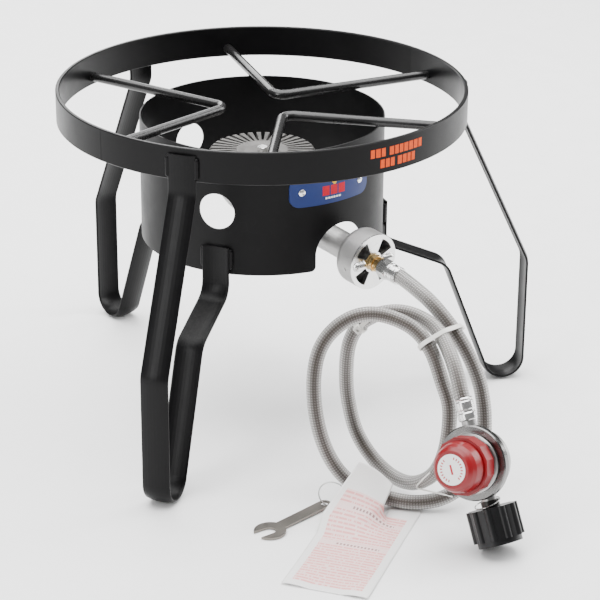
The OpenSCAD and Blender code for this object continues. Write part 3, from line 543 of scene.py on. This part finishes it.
def light_studio():
    world = bpy.data.worlds.new("studio")
    bpy.context.scene.world = world
    world.use_nodes = True
    world.node_tree.nodes["Background"].inputs["Color"].default_value = (1.0, 1.0, 1.0, 1.0)
    world.node_tree.nodes["Background"].inputs["Strength"].default_value = 0.3
    middle = (0, -0.1, 0.15)
    add_softbox("top_softbox", (0.2, 0.4, 3.0), (0.1, 0.2, 0), 4.2, 4.2, 400)
    add_softbox("left_softbox", (-2.5, -0.3, 1.2), middle, 0.7, 1.8, 42)
    add_softbox("right_softbox", (2.2, -0.9, 1.2), middle, 1.0, 1.8, 60)
    add_softbox("back_softbox", (0.9, 2.4, 1.3), middle, 1.8, 1.0, 40)


def lay_floor():
    deselect_all()
    bpy.ops.mesh.primitive_circle_add(vertices=96, radius=14, fill_type="NGON", location=(0, 0, -0.0004))
    floor = bpy.context.object
    floor.name = "floor"
    bpy.ops.object.transform_apply(location=True, rotation=True, scale=True)
    floor.data.materials.append(
        finish_material("pale_floor", (0.92, 0.92, 0.92), roughness=0.6, variation=0.01, bump=0.0)
    )


# ---------- pieces ----------

def make_hose():
    points = smooth_points(HOSE_ROUTE, 8)
    hose, length = tube("braided_hose", points, HOSE_RADIUS, 24)
    hose.data.materials.append(make_braid_material())
    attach(hose, STAND)
    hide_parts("hose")


def ramp(value):
    value = min(max(value, 0.0), 1.0)
    return value * value * (3 - 2 * value)


def tag_place(along, across, strip):
    """Place of a point of the flat tag: past its bend the left strip rises and swings over the hose."""
    spread = min(44.0, 4.0 + 1.2 * max(TAG_SLIT_START - along, 0.0))
    over = ramp((TAG_SLIT + spread / 2 - across) / spread)
    if along >= TAG_SLIT_START:
        over = 1.0 if strip else 0.0
    past = max(along - TAG_BEND, 0.0) * over
    swing = 0.35 * max(past - 20, 0.0) * max(1 - across / TAG_SLIT, 0.0)
    rise = past * max(TAG_RISE - 0.0068 * across, 0.0)
    arch = 3.5 * math.sin(math.pi * min(across / TAG_SLIT, 1.0)) * past / 79
    curl = 1.8 * math.sin(across / TAG_WIDTH * 2.6 * math.pi + 0.6) * ramp(1 - along / 45)
    wave = 0.7 * math.sin(along / 21.0) * math.sin(math.pi * across / TAG_WIDTH)
    height = rise + arch + max(curl + wave, 0.0) + 0.12
    return Vector((along - past * max(0.22 - 0.0036 * across, 0.0), -across - swing, height))


def make_tag():
    """A printed film tag with a slit that the hose passes through."""
    steps_along, steps_across = 96, 40
    painted_reflection_ramp = Matrix.Rotation(TAG_TURN, 3, "Z")
    vertices, index = [], {}

    def corner(i, j, strip):
        along, across = TAG_LENGTH * i / steps_along, TAG_WIDTH * j / steps_across
        split = along >= TAG_SLIT_START and j == steps_across * TAG_SLIT / TAG_WIDTH
        key = (i, j, strip if split else None)
        if key not in index:
            index[key] = len(vertices)
            left = strip if split else across < TAG_SLIT
            vertices.append(TAG_CORNER + painted_reflection_ramp @ tag_place(along, across, left))
        return index[key]

    faces, uvs = [], []
    for i in range(steps_along):
        for j in range(steps_across):
            strip = (j + 0.5) * TAG_WIDTH / steps_across < TAG_SLIT
            corners = ((i, j), (i, j + 1), (i + 1, j + 1), (i + 1, j))
            faces.append(tuple(corner(a, b, strip) for a, b in corners))
            uvs += [(b / steps_across, a / steps_along) for a, b in corners]
    tag = mesh_object("paper_tag", vertices, faces, uvs)
    deselect_all()
    tag.select_set(True)
    bpy.context.view_layer.objects.active = tag
    solid = tag.modifiers.new("film", "SOLIDIFY")
    solid.thickness = 0.00025
    solid.offset = 1.0
    bpy.ops.object.modifier_apply(modifier="film")
    tag.data.materials.append(make_tag_material())
    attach(tag, STAND)
    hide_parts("tag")


def make_tag_string():
    """The thin thread between the two strands by the regulator."""
    points = smooth_points(STRING_ROUTE, 8)
    thread, length = tube("tag_thread", points, 0.8, 10)
    thread.data.materials.append(
        finish_material("white_thread", (0.85, 0.84, 0.8), roughness=0.6, fine_scale=2500, bump=0.5)
    )
    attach(thread, STAND)
    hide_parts("tag_string")


PRINT_ROOT, PRINT_DEPTH = 0.5, 0.12


def curved_patch(name, radius, turn, width, low, high, steps=10):
    """A thin patch on a round wall: turn is its middle's angle from -Y, width is along the arc."""
    vertices, faces = [], []
    for k in range(steps + 1):
        angle = math.radians(turn) + (k / steps - 0.5) * width / radius
        for r in (radius - PRINT_ROOT, radius + PRINT_DEPTH):
            for z in (low, high):
                vertices.append((r * math.sin(angle), -r * math.cos(angle), z))
    for k in range(steps):
        a, b = 4 * k, 4 * k + 4
        faces += [
            (a + 2, b + 2, b + 3, a + 3),
            (a, a + 1, b + 1, b),
            (a + 1, a + 3, b + 3, b + 1),
            (a, b, b + 2, a + 2),
        ]
    last = 4 * steps
    faces += [(0, 2, 3, 1), (last, last + 1, last + 3, last + 2)]
    return mesh_object(name, vertices, faces, smooth=False)


def join(pieces, name):
    deselect_all()
    for piece in pieces:
        piece.select_set(True)
    bpy.context.view_layer.objects.active = pieces[0]
    bpy.ops.object.join()
    joined = bpy.context.object
    joined.name = name
    return joined


def row_of_bars(radius, start, heights, widths, gap):
    """Printed bars one after another round a wall, from a start angle in degrees."""
    bars, turn = [], start
    for width in widths:
        turn += math.degrees(width / 2 / radius)
        bars.append(curved_patch("bar", radius, turn, width, *heights, steps=4))
        turn += math.degrees((width / 2 + gap) / radius)
    return bars


def print_marks(name, bars, finish):
    marks = join(bars, name)
    marks.data.materials.append(finish)
    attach(marks, STAND)


def make_ring_marks():
    """Two rows of plain orange bars printed on the ring's band."""
    orange = finish_material(
        "orange_print", (0.7, 0.075, 0.006), roughness=0.5, spread=0.06, variation=0.12, bump=0.15,
        broad_scale=300, specular=0.12,
    )
    bars = row_of_bars(RING_RADIUS, -9.6, (319, 327.2), (4.4, 5, 4.4), 1.3)
    bars += row_of_bars(RING_RADIUS, -3.6, (319, 327.2), (5, 4.4, 4.4, 5, 5, 5, 4.4), 1.3)
    bars += row_of_bars(RING_RADIUS, -6.5, (308, 316.2), (4.6, 4.6, 4.4), 1.3)
    bars += row_of_bars(RING_RADIUS, -0.8, (308, 316.2), (5, 4.6, 4, 4.4), 1.3)
    print_marks("ring_marks", bars, orange)


def make_plate_marks():
    """A plain mark on the name plate: red blocks, a yellow wedge and a white line of dashes."""
    red = finish_material(
        "red_print", (0.5, 0.006, 0.025), roughness=0.4, spread=0.05, variation=0.08, broad_scale=200,
        specular=0.12,
    )
    yellow = finish_material(
        "yellow_print", (0.8, 0.45, 0.01), roughness=0.4, spread=0.05, variation=0.08, broad_scale=200,
        specular=0.2,
    )
    white = finish_material(
        "white_print", (0.8, 0.8, 0.8), roughness=0.45, spread=0.05, variation=0.04, broad_scale=200
    )
    blocks = row_of_bars(PLATE_RADIUS, -10.9, (257, 266.5), (7.6, 7.6, 7.6), 1.6)
    print_marks("plate_red_blocks", blocks, red)
    wedge = []
    for k in range(5):
        width = 2.4 + 1.8 * k
        low = 266.9 + 1.2 * k
        wedge.append(curved_patch("bar", PLATE_RADIUS, -4.6, width, low, low + 1.2, 3))
    print_marks("plate_yellow_wedge", wedge, yellow)
    dashes = row_of_bars(PLATE_RADIUS, -9.4, (253.2, 255), (2.2, 2.6, 1.8, 2.4, 2.2, 2.6), 0.8)
    print_marks("plate_white_dashes", dashes, white)


def make_disc_marks():
    """Plain ticks in two arcs round the knob's white disc, with a bar between them."""
    turns = [angle for start in (-60, 120) for angle in range(start, start + 121, 15)]
    places = [(DISC_TICK_RADIUS, angle, 2.2, 1.1) for angle in turns] + [(0, 0, 2.0, 9.0)]
    vertices, faces = [], []
    for radius, angle, high, wide in places:
        turn = REGULATOR_FRAME @ Matrix.Rotation(math.radians(angle), 3, "Z")
        first = len(vertices)
        for z in (DISC_TOP - 0.5, DISC_TOP + 0.1):
            for x, y in ((-1, -1), (1, -1), (1, 1), (-1, 1)):
                vertices.append(REGULATOR_CENTRE + turn @ Vector((radius + x * high / 2, y * wide / 2, z)))
        faces += [
            tuple(first + k for k in face)
            for face in ((3, 2, 1, 0), (4, 5, 6, 7), (0, 1, 5, 4), (1, 2, 6, 5), (2, 3, 7, 6), (3, 0, 4, 7))
        ]
    marks = mesh_object("disc_marks", vertices, faces, smooth=False)
    marks.data.materials.append(
        finish_material(
            "red_ink", (0.4, 0.02, 0.03), roughness=0.45, broad_scale=200, bump=0.1, specular=0.2
        )
    )
    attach(marks, KNOB)


PIN_RADIUS = 0.85
RIVET_HALF_TURN = 16


def make_rivet_pins():
    """The dark pin ends in the middle of the two blind rivets."""
    pins = []
    for turn in (PLATE_TURN - RIVET_HALF_TURN, PLATE_TURN + RIVET_HALF_TURN):
        angle = math.radians(turn)
        out = Vector((math.sin(angle), -math.cos(angle), 0))
        top = out * (PLATE_RADIUS + 1.05) + Vector((0, 0, PLATE_MIDDLE_HEIGHT))
        deselect_all()
        bpy.ops.mesh.primitive_uv_sphere_add(
            segments=20, ring_count=10, radius=PIN_RADIUS * MM, location=top * MM
        )
        pin = bpy.context.object
        bpy.ops.object.mode_set(mode="EDIT")
        bpy.ops.transform.resize(value=(0.8, 0.8, 0.9))
        bpy.ops.object.mode_set(mode="OBJECT")
        bpy.ops.object.transform_apply(location=True, rotation=True, scale=True)
        bpy.ops.object.shade_smooth()
        pins.append(pin)
    joined = join(pins, "rivet_pins")
    joined.data.materials.append(
        finish_material("pin_steel", (0.12, 0.12, 0.12), metallic=1.0, roughness=0.4, bump=0.2)
    )
    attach(joined, STAND)


def make_ring_seam():
    """The ground weld where the ring's band was closed, a faint raised line across it."""
    seam = curved_patch("ring_seam", RING_RADIUS, -87.0, 2.4, RING_LOW + 0.8, RING_TOP - 0.8, 6)
    deselect_all()
    seam.select_set(True)
    bpy.context.view_layer.objects.active = seam
    bevel = seam.modifiers.new("soft", "BEVEL")
    bevel.width = 0.0001
    bevel.segments = 2
    bpy.ops.object.modifier_apply(modifier="soft")
    seam.data.materials.append(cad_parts["ring"].data.materials[0])
    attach(seam, STAND)


def assign(nodes, material):
    for name in nodes:
        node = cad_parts[name]
        node.data.materials.clear()
        node.data.materials.append(material)


def finish_parts():
    black = finish_material(
        "black_paint", (0.0035, 0.0034, 0.0037), roughness=0.34, spread=0.05, fine_scale=1500, bump=0.1,
        scuffs=0.2, scuff_shade=5.0, dust=0.02, specular=0.12,
    )
    shield_black = finish_material(
        "shield_paint", (0.0035, 0.0034, 0.0037), roughness=0.42, spread=0.06, fine_scale=1200, bump=0.12,
        scuffs=0.2, scuff_shade=5.0, dust=0.02, specular=0.12,
    )
    rod_black = finish_material(
        "rod_paint", (0.008, 0.0078, 0.008), roughness=0.26, spread=0.05, fine_scale=1100,
        bump=0.12, scuffs=0.25, scuff_shade=4.0, specular=0.5,
    )
    casting = finish_material(
        "grey_casting", (0.36, 0.355, 0.35), metallic=0.85, roughness=0.42, spread=0.1, fine_scale=520,
        bump=0.35, bump_depth=0.0004, scuffs=0.2,
    )
    crown = finish_material(
        "burner_crown_iron", (0.16, 0.155, 0.15), metallic=0.8, roughness=0.5, spread=0.1, fine_scale=450,
        bump=0.5, bump_depth=0.0005,
    )
    bright = finish_material(
        "bright_zinc", (0.72, 0.72, 0.71), metallic=1.0, roughness=0.18, spread=0.07, fine_scale=700,
        bump=0.1, scuffs=0.3, scuff_shade=0.6,
    )
    brass = finish_material(
        "brass", (0.72, 0.5, 0.22), metallic=1.0, roughness=0.24, spread=0.07, bump=0.1, scuffs=0.25,
        scuff_shade=0.6,
    )
    satin = finish_material(
        "regulator_casting", (0.36, 0.355, 0.35), metallic=1.0, roughness=0.34, spread=0.08, fine_scale=900,
        bump=0.2, scuffs=0.2, scuff_shade=0.6,
    )
    rim = finish_material(
        "regulator_rim_zinc", (0.16, 0.158, 0.155), metallic=1.0, roughness=0.2, spread=0.05, bump=0.1
    )
    red = finish_material(
        "red_plastic", (0.19, 0.002, 0.005), roughness=0.34, spread=0.06, fine_scale=1600, bump=0.15,
        scuffs=0.12, coat=0.12, specular=0.35,
    )
    white = finish_material("white_disc", (0.8, 0.8, 0.79), roughness=0.4, variation=0.03, bump=0.1)
    nut_black = finish_material(
        "black_nylon", (0.006, 0.006, 0.0065), roughness=0.36, spread=0.06, fine_scale=1400, bump=0.2,
        scuffs=0.25, scuff_shade=5.0, coat=0.06, specular=0.25,
    )
    rubber = finish_material("black_rubber", (0.015, 0.015, 0.015), roughness=0.65, bump=0.2)
    milky = finish_material("milky_nylon", (0.72, 0.71, 0.67), roughness=0.35, variation=0.05, bump=0.1)
    steel = finish_material(
        "spanner_steel", (0.2, 0.185, 0.165), metallic=1.0, roughness=0.34, spread=0.1, fine_scale=600,
        bump=0.25, scuffs=0.5, scuff_shade=2.2,
    )
    wire = finish_material("spring_wire", (0.5, 0.5, 0.49), metallic=1.0, roughness=0.25, bump=0.1)
    blue = finish_material(
        "blue_label", (0.005, 0.02, 0.12), roughness=0.3, spread=0.05, variation=0.08, coat=0.08, bump=0.08,
        specular=0.2,
    )
    dark_metal = finish_material(
        "blackened_steel", (0.03, 0.029, 0.028), metallic=0.9, roughness=0.3, spread=0.08, bump=0.15,
        scuffs=0.2,
    )
    aluminium = finish_material(
        "rivet_aluminium", (0.85, 0.85, 0.85), metallic=1.0, roughness=0.25, spread=0.06, bump=0.1
    )
    assign(["ring", "leg_left", "leg_right", "leg_back", "weld_beads"], black)
    assign(["wind_shield", "burner_bracket"], shield_black)
    assign(["rod_front", "rod_right", "rod_left"], rod_black)
    assign(["burner_body"], casting)
    assign(["burner_crown"], crown)
    assign(
        ["air_shutter", "swivel_nut", "hose_ferrule_burner", "hose_ferrule_regulator", "burner_bolt",
         "burner_washer", "burner_nut", "bell_screw", "diaphragm_plate"],
        bright,
    )
    assign(["orifice_fitting", "spring_button"], brass)
    assign(["inlet_stem"], dark_metal)
    assign(["regulator_body", "regulator_bonnet"], satin)
    assign(["regulator_rim"], rim)
    assign(["knob"], red)
    assign(["knob_disc"], white)
    assign(["cylinder_nut"], nut_black)
    assign(["diaphragm", "stem_nose"], rubber)
    assign(["hose_tie", "small_tie"], milky)
    assign(["spanner"], steel)
    assign(["wire_ring", "stem_clip", "regulator_spring"], wire)
    assign(["name_plate"], blue)
    assign(["plate_rivets"], aluminium)


# ---------- the scene ----------

place_camera()
make_hose()
make_tag()
make_tag_string()
light_studio()
lay_floor()
finish_parts()
make_ring_marks()
make_plate_marks()
make_rivet_pins()
make_disc_marks()
make_ring_seam()
